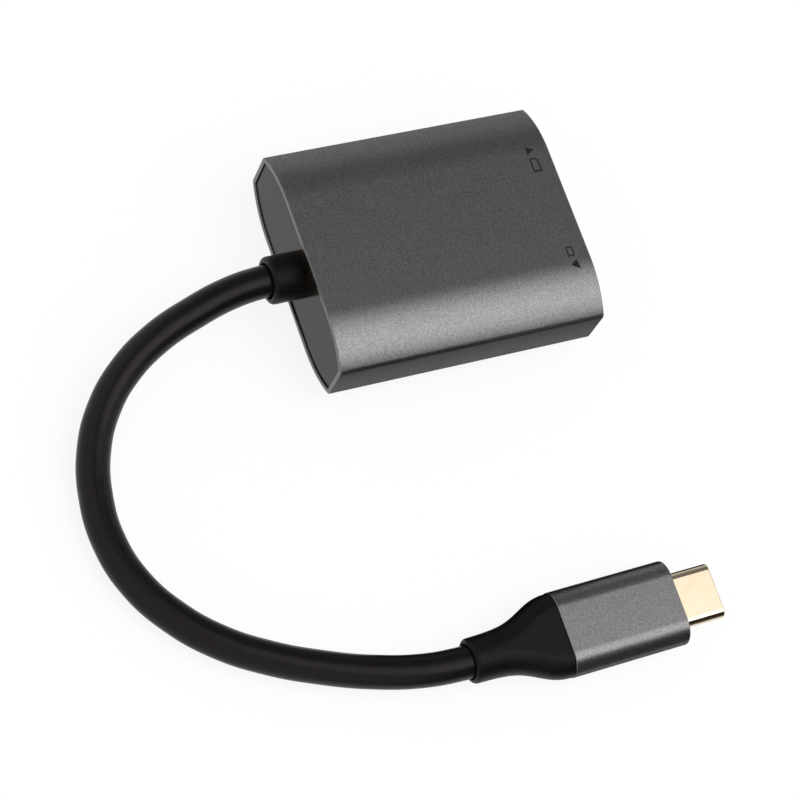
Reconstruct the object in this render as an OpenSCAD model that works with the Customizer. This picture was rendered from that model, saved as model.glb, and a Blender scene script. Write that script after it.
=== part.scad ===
// Memory card reader: an extruded aluminium housing with two card slots, a short cable and a reversible plug.
// X runs from the cable end to the slot end, Y to the far side, Z up. The housing stands on Z = 0.

/* [Housing] */
// Length of the extruded sleeve
housing_l = 42; // [40:0.5:60]
// Width over the side flats
housing_w = 35.2; // [34.8:0.2:44]
// Overall height
housing_h = 13.2; // [12.6:0.2:18]
// Height of the upright side flats
side_flat_h = 7.2; // [5.5:0.1:8]
// Width of the flat on the top and the bottom
top_flat_w = 18; // [14:0.5:22]
// Radius along the four side edges
edge_r = 1; // [0.95:0.05:1.4]
// Wall of the sleeve
wall = 0.75; // [0.6:0.05:0.85]

/* [End plates] */
// Thickness of both end plates
plate_t = 1.7; // [1.2:0.1:2.4]
// How far the end plates lie inside the ends of the sleeve
plate_recess = 0.25; // [0.1:0.05:0.6]
// Gap round the end plates and the carrier
plate_gap = 0.1; // [0.05:0.01:0.15]
// Depth of the locating rim behind each end plate
rim_depth = 2; // [1:0.1:3]
// Wall of the locating rim
rim_wall = 1; // [0.7:0.1:1.1]
// Lead-in at the mouths of the card slots
slot_lead = 0.4; // [0.2:0.1:0.6]

/* [Cards and sockets] */
// Width of the full-size card
card_w = 24; // [22:0.5:24.5]
// Thickness of the full-size card
card_t = 2.1; // [1.4:0.1:2.3]
// Length of the full-size socket
socket_l = 26; // [20:0.5:28]
// Number of contacts in the full-size socket
card_pins = 9; // [7:1:9]
// Spacing of those contacts
card_pitch = 2.5; // [2:0.1:2.5]
// Width of the small card
small_card_w = 11; // [10:0.5:12]
// Thickness of the small card
small_card_t = 0.8; // [0.7:0.05:1]
// Length of the small socket
small_socket_l = 15; // [14:0.5:18]
// Place of the small socket across the board
small_socket_y = -7; // [-8:0.5:0]
// Number of contacts in the small socket
small_pins = 8; // [6:1:8]
// Spacing of those contacts
small_pitch = 1.1; // [1:0.05:1.2]
// Play of a card in its slot
card_play = 0.3; // [0.1:0.05:0.4]
// Sheet thickness of the socket covers
sheet_t = 0.2; // [0.1:0.05:0.25]

/* [Board] */
// Height of the underside of the circuit board
board_z = 6; // [5.6:0.1:6.6]
// Thickness of the circuit board
board_t = 1; // [0.8:0.1:1.2]
// Floor of the carrier under the board
carrier_floor = 1.2; // [0.8:0.1:1.4]
// Diameter of the carrier screws
screw_d = 1.2; // [1:0.1:1.4]
// Length of a carrier screw under its head
screw_l = 3.5; // [2.5:0.1:4]
// Side of the square controller chip
chip_side = 7; // [5:0.5:7.5]

/* [Cable] */
// Diameter of the cable
cable_d = 4.8; // [4:0.1:5]
// Diameter of the collar where the cable leaves the housing
collar_d = 7; // [6.4:0.1:8]
// Length of that collar outside the end plate
collar_l = 4.8; // [3:0.1:6]
// Rounding of the outer edge of both collars
collar_r = 0.6; // [0.2:0.05:0.7]
// Gap between the cable and the mouth of a collar
mouth_gap = 0.25; // [0.1:0.05:0.4]
// How deep the cable enters a collar
mouth_depth = 1; // [0.5:0.1:1.5]

/* [Plug] */
// Length of the metal cover
cover_l = 18.4; // [17:0.2:22]
// Width of the cover
cover_w = 12.6; // [11.6:0.1:13.6]
// Thickness of the cover
cover_h = 6.2; // [5.8:0.1:6.6]
// Height of the upright flat on each side of the cover, between its round edges
cover_side = 0.1; // [0.1:0.1:3]
// Wall of the cover
cover_wall = 0.5; // [0.4:0.05:0.7]
// Width of the shell that goes into the socket of the computer
shell_w = 8.25; // [8.2:0.05:8.3]
// Thickness of that shell
shell_h = 2.4; // [2.35:0.05:2.45]
// Sheet of that shell
shell_t = 0.3; // [0.2:0.05:0.35]
// How far the shell stands out of the cover
shell_out = 7; // [6.65:0.05:7.5]
// Contacts in each of the two rows
plug_pins = 12; // [8:1:12]
// Spacing of the plug contacts
plug_pitch = 0.5; // [0.45:0.05:0.5]
// Length of the soft boot behind the cover
boot_l = 14.3; // [12:0.1:18]
// Diameter of the boot where the cable enters
boot_d = 6.5; // [6.4:0.1:7]
// Roll of the plug, which lies on the lower edge of its near side
plug_roll = 3.7; // [0:0.1:6]

/* [Hidden] */
$fn = 64;

// Housing
x_end = housing_l / 2;
half_w = housing_w / 2;
half_flat = top_flat_w / 2;
axis_z = housing_h / 2;
shoulder_drop = (housing_h - side_flat_h) / 2;
shoulder_run = half_w - half_flat;
shoulder_r = (shoulder_run * shoulder_run + shoulder_drop * shoulder_drop) / (2 * shoulder_drop);
plate_inset = wall + plate_gap;

// End plates
plate_x = x_end - plate_recess;
plate_back_x = plate_x - plate_t;
rim_x = plate_back_x - rim_depth;

// Board and what stands on it
fit_gap = 0.05;
board_top = board_z + board_t;
board_rear_room = 6;
board_rear_x = -x_end + board_rear_room;
board_front_x = plate_back_x - 0.1;
board_half_w = half_w - plate_inset - 0.35;
board_tongue_half_w = board_half_w - rim_wall - 0.2;
carrier_z = plate_inset;
carrier_wall_y = card_w / 2 + 2;
carrier_rear_wall = 1.5;
screw_head_d = 2 * screw_d - 0.3;
screw_head_t = 0.6;
post_d = 2.6;
post_inset = 1.6;

// Full-size card socket, under the board
socket_front_x = board_front_x;
socket_rear_x = socket_front_x - socket_l;
socket_plate_t = 0.5;
socket_rail = 1.35;
card_space_half = card_w / 2 + card_play / 2;
card_space_h = card_t + card_play / 2;
card_floor_z = board_z - socket_plate_t - card_space_h;
socket_half_w = card_space_half + socket_rail;
finger_w = 0.8;
finger_l = 8.5;
finger_root_x = socket_rear_x + 2.5;
detect_back = 14;
detect_x = socket_front_x - detect_back;
window_back = 6;
window_l = 9;
window_w = 2.4;
window_y = 7;
screw_places = [for (side = [-1, 1]) each [
    [board_rear_x + post_inset, side * (board_half_w - post_inset)],
    [socket_rear_x - post_inset, side * (card_space_half - post_inset / 2)]
]];

// Small card socket, on the board
small_front_x = board_front_x;
small_rear_x = small_front_x - small_socket_l;
small_plate_t = 0.4;
small_rail = 1.2;
small_space_half = small_card_w / 2 + card_play / 2;
small_space_h = small_card_t + card_play / 2;
small_top_z = board_top + small_plate_t + small_space_h;
small_half_w = small_space_half + small_rail;
small_finger_w = 0.5;
small_finger_l = 5;
small_finger_root_x = small_rear_x + 2;
small_window_back = 4;
small_window_l = 5;
small_window_w = 1.4;
small_window_y = 3.2;

// Strain relief and cable
collar_x = -plate_x - collar_l;
neck_d = cable_d + 1;
flange_d = collar_d + 1.4;
flange_t = 1.4;
flange_x = -plate_back_x + flange_t;
wire_d = 0.8;
wire_count = 5;
wire_pitch = 0.95;
pad_pitch = 2;
wire_run = 5.2;
wire_rise = 0.4;
wire_z = board_top + wire_d / 2 + 0.02;

// Small parts on the board: [x, y] from the middle of the controller chip
chip_room = 7.4;
chip_x = flange_x + wire_run + chip_room;
chip_y = 3.5;
chip_t = 0.9;
capacitor_size = [1.6, 0.8, 0.8];
capacitor_places = [[-6, 3], [-6, 0.5], [-6, -2], [5.5, 3.5], [5.5, 1], [-2, 6.5], [1.5, 6.5], [-1, -8]];
resistor_size = [1, 0.5, 0.35];
resistor_places = [[-6, 5], [-4, 6.5], [4, 6.5], [5.5, -1], [5.5, 5.5], [-2.8, -8], [-2.8, -6.5], [-6, -5]];
crystal_place = [1.5, -7.5];
crystal_size = [3.2, 2.5, 0.75];
regulator_place = [-5, -9];
regulator_size = [1.7, 2.9, 1.1];

// Plug: its frame starts at the middle of the cover's front rim and looks out along the shell
cover_r = (cover_h - cover_side) / 2;
rolled_half_h = (cover_w / 2 - cover_r) * sin(plug_roll) + cover_side / 2 * cos(plug_roll) + cover_r;
plug_place = [17.8, -59.9, max(rolled_half_h, boot_d / 2)];
plug_heading = 1.2;
boot_end_u = -cover_l - boot_l;
boot_inset = 0.1;
spigot_l = 3.5;
core_inset = cover_wall + fit_gap;
core_recess = 0.25;
core_l = 8.5;
shell_in = 5;
insulator_gap = 0.02;
insulator_tip_u = shell_out - 0.7;
tongue_w = 6.8;
tongue_h = 0.9;
tongue_depth = 5.8;
contact_w = 0.26;
contact_t = 0.14;
contact_z = 0.3;
tunnel_w = contact_w + 0.06;
plug_board_w = 7;
plug_board_l = 8;
plug_board_t = 2 * contact_z;
ground_t = 0.1;
ground_w = 4.8;
ground_l = 3;
ground_z = shell_h / 2 - shell_t - ground_t;
latch_t = 0.24;
plug_wire_count = 4;
plug_wire_z = plug_board_t / 2 + wire_d / 2 + 0.02;

// Point on the plug's axis, counted from the front rim of the cover
function on_plug_axis(u) = plug_place + u * [cos(plug_heading), sin(plug_heading), 0];
// Middle of the cable, from inside the housing's collar to inside the boot, chosen along its run on the table
cable_route = [
    [collar_x + mouth_depth, 0, axis_z],
    [collar_x - 0.8, 0, axis_z],
    [-31.5, -0.7, 6.6],
    [-37.5, -2.4, 6.3],
    [-43.5, -4.7, 5.7],
    [-49, -8.1, 4.8],
    [-53.4, -12.6, 3.9],
    [-56.5, -18.2, 3.1],
    [-58.1, -24.6, 2.6],
    [-58.2, -31.4, 2.4],
    [-56.4, -38, 2.4],
    [-52.8, -43.8, 2.4],
    [-47.8, -48.8, 2.4],
    [-41.8, -52.7, 2.4],
    [-35.2, -55.8, 2.4],
    [-28.2, -58.4, 2.6],
    [-21.4, -60.1, 3],
    on_plug_axis(boot_end_u - 0.8),
    on_plug_axis(boot_end_u + mouth_depth)
];
cable_sides = 10;

// Vectors and sweeps
function unit(v) = v / norm(v);
function heading_at(route, i) =
    i == 0 ? unit(route[1] - route[0]) :
    i == len(route) - 1 ? unit(route[i] - route[i - 1]) :
    unit(unit(route[i + 1] - route[i]) + unit(route[i] - route[i - 1]));
function ring_at(route, i, r, sides) =
    let (t = heading_at(route, i), side = unit(cross([0, 0, 1], t)), up = cross(t, side))
    [for (k = [0:sides - 1]) route[i] + r * (cos(360 * k / sides) * side + sin(360 * k / sides) * up)];
function rings_faces(rings, sides) = concat(
    [[for (k = [0:sides - 1]) k]],
    [for (i = [0:rings - 2], k = [0:sides - 1])
        let (a = i * sides + k, b = i * sides + (k + 1) % sides)
        [a + sides, b + sides, b, a]],
    [[for (k = [sides - 1:-1:0]) (rings - 1) * sides + k]]
);

// A closed skin over rings of equally many points
module skin(rings) {
    sides = len(rings[0]);
    polyhedron(points = [for (ring = rings) each ring], faces = rings_faces(len(rings), sides));
}

// A round cord along a route
module cord(route, d, sides) {
    skin([for (i = [0:len(route) - 1]) ring_at(route, i, d / 2, sides)]);
}

// An outline in Y and Z, carried along X
module along_x(x0, x1) {
    translate([x0, 0, 0]) rotate([90, 0, 90]) linear_extrude(x1 - x0) children();
}

// An outline in X and Z, carried along Y
module along_y(y0, y1) {
    translate([0, y1, 0]) rotate([90, 0, 0]) linear_extrude(y1 - y0) children();
}

// A block from its lowest to its highest corner
module block(low, high) {
    translate(low) cube(high - low);
}

// A bar with the housing's outline, drawn in from the outer skin: flats and shoulder arcs, with edges of radius r
module housing_bar(x0, x1, inset, r) {
    r_big = shoulder_r - inset;
    arc_z = housing_h - shoulder_r;
    edge_y = half_w - inset - r;
    edge_z = arc_z + sqrt(pow(r_big - r, 2) - pow(edge_y - half_flat, 2));
    middle = [half_flat, arc_z];
    lean = unit([edge_y, edge_z] - middle);
    quarter = concat([[half_flat, housing_h - inset], middle + r_big * lean], r > 0 ? [[edge_y + r, edge_z]] : []);
    last = len(quarter) - 1;
    right = concat(quarter, [for (i = [last:-1:0]) [quarter[i][0], housing_h - quarter[i][1]]]);
    along_x(x0, x1) polygon(concat(right, [for (i = [2 * last + 1:-1:0]) [-right[i][0], right[i][1]]]));
    for (side = [-1, 1], low = [0, 1]) {
        along_x(x0, x1) flip(side, low) intersection() {
            translate(middle) circle(r_big);
            polygon([[half_flat, axis_z], [half_flat, housing_h + 1], middle + 2 * r_big * lean,
                middle + (axis_z - arc_z) / lean[1] * lean]);
        }
        if (r > 0) along_x(x0, x1) flip(side, low) translate([edge_y, edge_z]) circle(r);
    }
}

// Flips an outline to the other side, from top to bottom, or both
module flip(side, low) {
    translate([0, low * housing_h]) mirror([side < 0 ? 1 : 0, 0]) mirror([0, low]) children();
}

// A rectangle with round corners
module rounded_rect(w, h, r) {
    square([w, h - 2 * r], center = true);
    square([w - 2 * r, h], center = true);
    for (sx = [-1, 1], sy = [-1, 1]) {
        translate([sx * (w / 2 - r), sy * (h / 2 - r)]) circle(r);
    }
}

// Puts a piece built round the plug's axis where the plug lies
module at_plug() {
    translate(plug_place) rotate([plug_roll, 0, plug_heading]) children();
}

module housing_sleeve() {
    color("dimgray") difference() {
        housing_bar(-x_end, x_end, 0, edge_r);
        housing_bar(-x_end - 1, x_end + 1, wall, edge_r - wall);
    }
}

// Plate with a locating rim on its inner side, outside face at x = plate_x
module end_plate() {
    difference() {
        housing_bar(rim_x, plate_x, plate_inset, 0);
        housing_bar(rim_x - 1, plate_back_x, plate_inset + rim_wall, 0);
    }
}

module rear_end_plate() {
    color([0.1, 0.1, 0.1]) difference() {
        mirror([1, 0, 0]) end_plate();
        translate([-plate_x - 1, 0, axis_z]) rotate([0, 90, 0]) cylinder(d = neck_d + 2 * fit_gap, h = plate_t + 2);
    }
}

// A card slot through the front plate, with a lead-in above and below
module card_slot(half, low_z, high_z, y) {
    along_y(y - half, y + half) {
        polygon([
            [plate_back_x - 1, low_z], [plate_x - slot_lead, low_z], [plate_x + 1, low_z - slot_lead - 1],
            [plate_x + 1, high_z + slot_lead + 1], [plate_x - slot_lead, high_z], [plate_back_x - 1, high_z]
        ]);
    }
}

module front_end_plate() {
    color([0.1, 0.1, 0.1]) difference() {
        end_plate();
        card_slot(card_space_half, card_floor_z - fit_gap, card_floor_z + card_space_h + fit_gap, 0);
        card_slot(small_space_half, small_top_z - small_space_h - fit_gap, small_top_z + fit_gap, small_socket_y);
    }
}

module board_carrier() {
    color([0.15, 0.15, 0.16]) difference() {
        intersection() {
            housing_bar(-rim_x, rim_x, plate_inset, 0);
            block([-rim_x, -half_w, 0], [rim_x, half_w, board_z]);
        }
        difference() {
            block([-rim_x + carrier_rear_wall, -carrier_wall_y, carrier_z + carrier_floor],
                [rim_x + 1, carrier_wall_y, housing_h]);
            for (place = screw_places) translate([place[0], place[1], carrier_z]) cylinder(d = post_d, h = housing_h);
        }
        for (place = screw_places) {
            translate([place[0], place[1], board_top - screw_l - 0.3]) cylinder(d = screw_d + fit_gap, h = screw_l + 1);
        }
    }
}

module carrier_screws() {
    color("silver") for (place = screw_places) {
        translate([place[0], place[1], board_top]) {
            difference() {
                union() {
                    cylinder(d = screw_head_d, h = screw_head_t);
                    translate([0, 0, -screw_l]) cylinder(d = screw_d, h = screw_l + screw_head_t / 2);
                }
                for (turn = [0, 90]) {
                    rotate([0, 0, turn]) translate([0, 0, screw_head_t]) cube([screw_head_d * 0.6, 0.25, 0.5], center = true);
                }
            }
        }
    }
}

module main_board() {
    color([0.05, 0.25, 0.12]) translate([0, 0, board_z]) difference() {
        linear_extrude(board_t) polygon([
            [board_rear_x, -board_half_w], [rim_x - fit_gap, -board_half_w],
            [rim_x - fit_gap, -board_tongue_half_w], [board_front_x, -board_tongue_half_w],
            [board_front_x, board_tongue_half_w], [rim_x - fit_gap, board_tongue_half_w],
            [rim_x - fit_gap, board_half_w], [board_rear_x, board_half_w]
        ]);
        for (place = screw_places) {
            translate([place[0], place[1], -1]) cylinder(d = screw_d + 2 * fit_gap, h = board_t + 2);
        }
    }
}

// A contact finger in X and Z: a flat root, a slope into the card's space and an upturned tip
module finger_outline(l, t, dip) {
    polygon([
        [0, 0], [0.3 * l, 0], [0.8 * l, -dip], [0.9 * l, -dip], [l, -0.5 * dip],
        [l, -0.5 * dip + t], [0.9 * l, -dip + t], [0.8 * l, -dip + t], [0.3 * l, t], [0, t]
    ]);
}

module card_socket_base() {
    color([0.12, 0.12, 0.12]) difference() {
        block([socket_rear_x, -socket_half_w, card_floor_z], [socket_front_x, socket_half_w, board_z]);
        block([socket_rear_x + 1.5, -card_space_half, card_floor_z - 1],
            [socket_front_x + 1, card_space_half, board_z - socket_plate_t]);
        for (i = [0:card_pins - 1]) {
            y = (i - (card_pins - 1) / 2) * card_pitch;
            block([finger_root_x, y - finger_w / 2 - 0.2, card_floor_z],
                [finger_root_x + finger_l + 0.5, y + finger_w / 2 + 0.2, board_z + 1]);
        }
        block([detect_x, card_space_half - 1, card_floor_z + 0.4],
            [detect_x + 9, card_space_half + 0.7, board_z - socket_plate_t - 0.4]);
    }
}

module card_socket_cover() {
    out = socket_half_w + sheet_t;
    low = card_floor_z - sheet_t;
    color("silver") difference() {
        along_x(socket_rear_x, socket_front_x) polygon([
            [-out, low], [out, low], [out, board_z], [socket_half_w, board_z],
            [socket_half_w, card_floor_z], [-socket_half_w, card_floor_z], [-socket_half_w, board_z], [-out, board_z]
        ]);
        for (side = [-1, 1]) {
            block([socket_rear_x + window_back, side * window_y - window_w / 2, low - 1],
                [socket_rear_x + window_back + window_l, side * window_y + window_w / 2, card_floor_z + 1]);
        }
        translate([socket_front_x, 0, low - 1]) cylinder(r = 5, h = sheet_t + 2);
    }
}

module card_contacts() {
    color("gold") for (i = [0:card_pins - 1]) {
        y = (i - (card_pins - 1) / 2) * card_pitch;
        along_y(y - finger_w / 2, y + finger_w / 2)
            translate([finger_root_x, board_z - 0.3]) finger_outline(finger_l, 0.15, 0.6);
    }
}

module card_detect_springs() {
    color("gold") for (level = [0, 1]) {
        translate([detect_x, card_space_half + 0.4, card_floor_z + 0.5 + level * 0.6]) linear_extrude(0.4) polygon([
            [0, 0], [3, 0], [6, -0.5], [8, 0], [8, 0.15], [6, -0.35], [3, 0.15], [0, 0.15]
        ]);
    }
}

module small_socket_base() {
    color([0.12, 0.12, 0.12]) translate([0, small_socket_y, 0]) difference() {
        block([small_rear_x, -small_half_w, board_top], [small_front_x, small_half_w, small_top_z]);
        block([small_rear_x + 1.2, -small_space_half, board_top + small_plate_t],
            [small_front_x + 1, small_space_half, small_top_z + 1]);
        for (i = [0:small_pins - 1]) {
            y = (i - (small_pins - 1) / 2) * small_pitch;
            block([small_finger_root_x, y - small_finger_w / 2 - 0.1, board_top - 1],
                [small_finger_root_x + small_finger_l + 0.4, y + small_finger_w / 2 + 0.1, small_top_z]);
        }
    }
}

module small_socket_cover() {
    out = small_half_w + sheet_t;
    high = small_top_z + sheet_t;
    color("silver") translate([0, small_socket_y, 0]) difference() {
        along_x(small_rear_x, small_front_x) polygon([
            [-out, board_top], [-out, high], [out, high], [out, board_top], [small_half_w, board_top],
            [small_half_w, small_top_z], [-small_half_w, small_top_z], [-small_half_w, board_top]
        ]);
        for (side = [-1, 1]) {
            block([small_rear_x + small_window_back, side * small_window_y - small_window_w / 2, small_top_z - 1],
                [small_rear_x + small_window_back + small_window_l, side * small_window_y + small_window_w / 2,
                high + 1]);
        }
        translate([small_front_x, 0, small_top_z - 1]) cylinder(r = 3, h = sheet_t + 2);
    }
}

module small_contacts() {
    color("gold") for (i = [0:small_pins - 1]) {
        y = small_socket_y + (i - (small_pins - 1) / 2) * small_pitch;
        along_y(y - small_finger_w / 2, y + small_finger_w / 2)
            translate([small_finger_root_x, board_top + 0.25]) mirror([0, 1]) finger_outline(small_finger_l, 0.12, 0.4);
    }
}

// Places a part by its middle, standing on the board, measured from the controller chip
module on_board(place, size) {
    translate([chip_x + place[0] - size[0] / 2, chip_y + place[1] - size[1] / 2, board_top]) children();
}

module controller_chip() {
    color([0.08, 0.08, 0.08]) on_board([0, 0], [chip_side, chip_side]) difference() {
        cube([chip_side, chip_side, chip_t]);
        translate([1, 1, chip_t - 0.1]) cylinder(r = 0.35, h = 1);
    }
}

module regulator_chip() {
    color([0.08, 0.08, 0.08]) on_board(regulator_place, regulator_size) {
        translate([0, 0, 0.1]) cube([regulator_size[0], regulator_size[1], regulator_size[2] - 0.1]);
        for (i = [0:2]) {
            translate([-0.5, 0.3 + i * 0.95, 0]) cube([regulator_size[0] + 1, 0.4, 0.25]);
        }
    }
}

module timing_crystal() {
    color("silver") on_board(crystal_place, crystal_size) {
        linear_extrude(crystal_size[2]) translate([crystal_size[0] / 2, crystal_size[1] / 2])
            rounded_rect(crystal_size[0], crystal_size[1], 0.4);
    }
}

module board_capacitors() {
    color([0.55, 0.42, 0.3]) for (place = capacitor_places) {
        on_board(place, capacitor_size) cube(capacitor_size);
    }
}

module board_resistors() {
    color([0.1, 0.1, 0.12]) for (place = resistor_places) {
        on_board(place, resistor_size) cube(resistor_size);
    }
}

module inner_wires() {
    color("firebrick") for (i = [0:wire_count - 1]) {
        row = i - (wire_count - 1) / 2;
        cord([
            [flange_x, row * wire_pitch, wire_z],
            [flange_x + wire_run * 0.12, row * wire_pitch, wire_z],
            [flange_x + wire_run * 0.32, row * (wire_pitch * 3 + pad_pitch) / 4, wire_z + wire_rise * 0.8],
            [flange_x + wire_run * 0.52, row * (wire_pitch + pad_pitch * 3) / 4, wire_z + wire_rise],
            [flange_x + wire_run * 0.72, row * pad_pitch, wire_z + wire_rise * 0.3],
            [flange_x + wire_run * 0.84, row * pad_pitch, wire_z],
            [flange_x + wire_run, row * pad_pitch, wire_z]
        ], wire_d, 8);
    }
}

// Half outline of a collar: radius across, length up, with its outer edge rounded
module collar_half(d, l) {
    difference() {
        union() {
            translate([0, collar_r]) square([d / 2, l - collar_r]);
            square([d / 2 - collar_r, l]);
            translate([d / 2 - collar_r, collar_r]) circle(collar_r);
        }
        translate([-1, -1]) square([cable_d / 2 + mouth_gap + 1, mouth_depth + 1]);
    }
}

module strain_relief() {
    color([0.07, 0.07, 0.07]) translate([collar_x, 0, axis_z]) rotate([0, 90, 0]) rotate_extrude() {
        collar_half(collar_d, collar_l);
        translate([0, collar_l - 0.5]) square([neck_d / 2, plate_t + 1]);
        translate([0, collar_l + plate_t]) square([flange_d / 2, flange_t]);
    }
}

module cable_jacket() {
    color([0.1, 0.1, 0.1]) cord(cable_route, cable_d, cable_sides);
}

// One ring of the boot: a rounded rectangle of half sizes a and b with corners r, in the plane u
boot_sides = 32;
function boot_ring(u, a, b, r) = [for (k = [0:boot_sides - 1])
    let (turn = 360 * (k + 0.5) / boot_sides, c = cos(turn), s = sin(turn))
    [u, (a - r) * sign(c) + r * c, (b - r) * sign(s) + r * s]];
// Smooth step from 0 to 1
function ease(t) = t * t * (3 - 2 * t);
boot_steps = 14;

// Stretch of the boot that swells from the round collar to the cover
module boot_bell() {
    a1 = cover_w / 2 - boot_inset;
    b1 = cover_h / 2 - boot_inset;
    r1 = cover_r - boot_inset;
    r0 = boot_d / 2;
    skin([for (i = [0:boot_steps])
        let (t = i / boot_steps, swell = ease(pow(t, 1.6)), a = r0 + 0.3 * t * (1 - swell) + (a1 - r0) * swell,
            b = r0 + (b1 - r0) * ease(t), r = min(a, b) - 0.01 + (r1 - b1 + 0.01) * t)
        boot_ring(boot_end_u + mouth_depth + t * (boot_l - mouth_depth), a, b, r)]);
}

module plug_boot() {
    color([0.07, 0.07, 0.07]) at_plug() {
        boot_bell();
        translate([boot_end_u, 0, 0]) rotate([0, 90, 0]) rotate_extrude() collar_half(boot_d, mouth_depth + 0.5);
        along_x(-cover_l - 0.5, -cover_l + spigot_l)
            rounded_rect(cover_w - 2 * core_inset, cover_h - 2 * core_inset, cover_r - core_inset);
    }
}

module plug_cover() {
    color("dimgray") at_plug() along_x(-cover_l, 0) difference() {
        rounded_rect(cover_w, cover_h, cover_r);
        rounded_rect(cover_w - 2 * cover_wall, cover_h - 2 * cover_wall, cover_r - cover_wall);
    }
}

module plug_core() {
    color([0.1, 0.1, 0.1]) at_plug() along_x(-core_recess - core_l, -core_recess) difference() {
        rounded_rect(cover_w - 2 * core_inset, cover_h - 2 * core_inset, cover_r - core_inset);
        rounded_rect(shell_w + 2 * insulator_gap, shell_h + 2 * insulator_gap, shell_h / 2 - 0.01);
    }
}

module plug_shell() {
    color("gold") at_plug() along_x(-shell_in, shell_out) difference() {
        rounded_rect(shell_w, shell_h, shell_h / 2 - 0.01);
        rounded_rect(shell_w - 2 * shell_t, shell_h - 2 * shell_t, shell_h / 2 - 0.01 - shell_t);
    }
}

module plug_insulator() {
    in_w = shell_w - 2 * shell_t - 2 * insulator_gap;
    in_h = shell_h - 2 * shell_t - 2 * insulator_gap;
    color([0.08, 0.08, 0.08]) at_plug() difference() {
        along_x(-shell_in, insulator_tip_u) rounded_rect(in_w, in_h, in_h / 2 - 0.01);
        block([insulator_tip_u - tongue_depth, -tongue_w / 2, -tongue_h / 2],
            [insulator_tip_u + 1, tongue_w / 2, tongue_h / 2]);
        for (i = [0:plug_pins - 1], side = [-1, 1]) {
            y = (i - (plug_pins - 1) / 2) * plug_pitch;
            mirror([0, 0, side < 0 ? 1 : 0])
                block([-shell_in - 1, y - tunnel_w / 2, contact_z - 0.02], [insulator_tip_u - 0.4, y + tunnel_w / 2, 0.7]);
        }
        block([-shell_in - 1, -tongue_w / 2, -latch_t / 2 - fit_gap],
            [insulator_tip_u - 1, tongue_w / 2, latch_t / 2 + fit_gap]);
        for (side = [-1, 1]) {
            mirror([0, 0, side < 0 ? 1 : 0]) block([-shell_in - 1, -ground_w / 2 - fit_gap, ground_z - 0.01],
                [-shell_in + ground_l + fit_gap, ground_w / 2 + fit_gap, shell_h]);
        }
    }
}

// One row of plug contacts, above the middle plane
module contact_row() {
    for (i = [0:plug_pins - 1]) {
        y = (i - (plug_pins - 1) / 2) * plug_pitch;
        along_y(y - contact_w / 2, y + contact_w / 2) polygon([
            [-shell_in - 1.6, contact_z], [0.4, contact_z], [1, contact_z + 0.2], [3.4, contact_z + 0.2],
            [4.3, contact_z], [4.8, contact_z], [5.4, contact_z + 0.2], [5.4, contact_z + 0.2 + contact_t],
            [4.8, contact_z + contact_t], [4.3, contact_z + contact_t], [3.4, contact_z + 0.2 + contact_t],
            [1, contact_z + 0.2 + contact_t], [0.4, contact_z + contact_t], [-shell_in - 1.6, contact_z + contact_t]
        ]);
    }
}

module plug_contacts_upper() {
    color("gold") at_plug() contact_row();
}

module plug_contacts_lower() {
    color("gold") at_plug() mirror([0, 0, 1]) contact_row();
}

module plug_latch() {
    out = tongue_w / 2 - fit_gap;
    arm = 0.22;
    right = [[-shell_in, out], [4.2, out], [5, out - 0.35], [4.8, out - 0.5], [4, out - arm], [0.2, out - arm]];
    color("silver") at_plug() translate([0, 0, -latch_t / 2]) linear_extrude(latch_t)
        polygon(concat(right, [for (i = [len(right) - 1:-1:0]) [right[i][0], -right[i][1]]]));
}

module plug_ground_springs() {
    color("silver") at_plug() for (side = [-1, 1]) {
        mirror([0, 0, side < 0 ? 1 : 0])
            block([-shell_in, -ground_w / 2, ground_z], [-shell_in + ground_l, ground_w / 2, ground_z + ground_t]);
    }
}

module plug_board() {
    color([0.05, 0.25, 0.12]) at_plug()
        block([-shell_in - plug_board_l, -plug_board_w / 2, -plug_board_t / 2], [-shell_in, plug_board_w / 2, plug_board_t / 2]);
}

module plug_wires() {
    back_u = -cover_l + spigot_l;
    board_u = -shell_in - plug_board_l;
    color("firebrick") at_plug() for (i = [0:plug_wire_count - 1]) {
        row = i - (plug_wire_count - 1) / 2;
        cord([
            [back_u, row * wire_pitch, plug_wire_z], [back_u + 0.4, row * wire_pitch, plug_wire_z],
            [(back_u + board_u) / 2 + 0.2, row * (wire_pitch + 0.25), plug_wire_z + 0.1],
            [board_u + 0.6, row * (wire_pitch + 0.5), plug_wire_z], [board_u + 2, row * (wire_pitch + 0.5), plug_wire_z]
        ], wire_d, 8);
    }
}

housing_sleeve();
rear_end_plate();
front_end_plate();
board_carrier();
carrier_screws();
main_board();
card_socket_base();
card_socket_cover();
card_contacts();
card_detect_springs();
small_socket_base();
small_socket_cover();
small_contacts();
controller_chip();
regulator_chip();
timing_crystal();
board_capacitors();
board_resistors();
inner_wires();
strain_relief();
cable_jacket();
plug_boot();
plug_cover();
plug_core();
plug_shell();
plug_insulator();
plug_contacts_upper();
plug_contacts_lower();
plug_latch();
plug_ground_springs();
plug_board();
plug_wires();
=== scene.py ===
# %% [markdown]
# A memory card reader, dressed for its portrait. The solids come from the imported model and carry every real
# size. This lesson adds what solids lack: finishes, softened edges, a smooth cable and a lit table.
# Everything is in metres and in one shared frame, so a new piece is simply made where the real one is.

# %% Load the frame
import math

import bpy
from mathutils import Matrix, Vector


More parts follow.
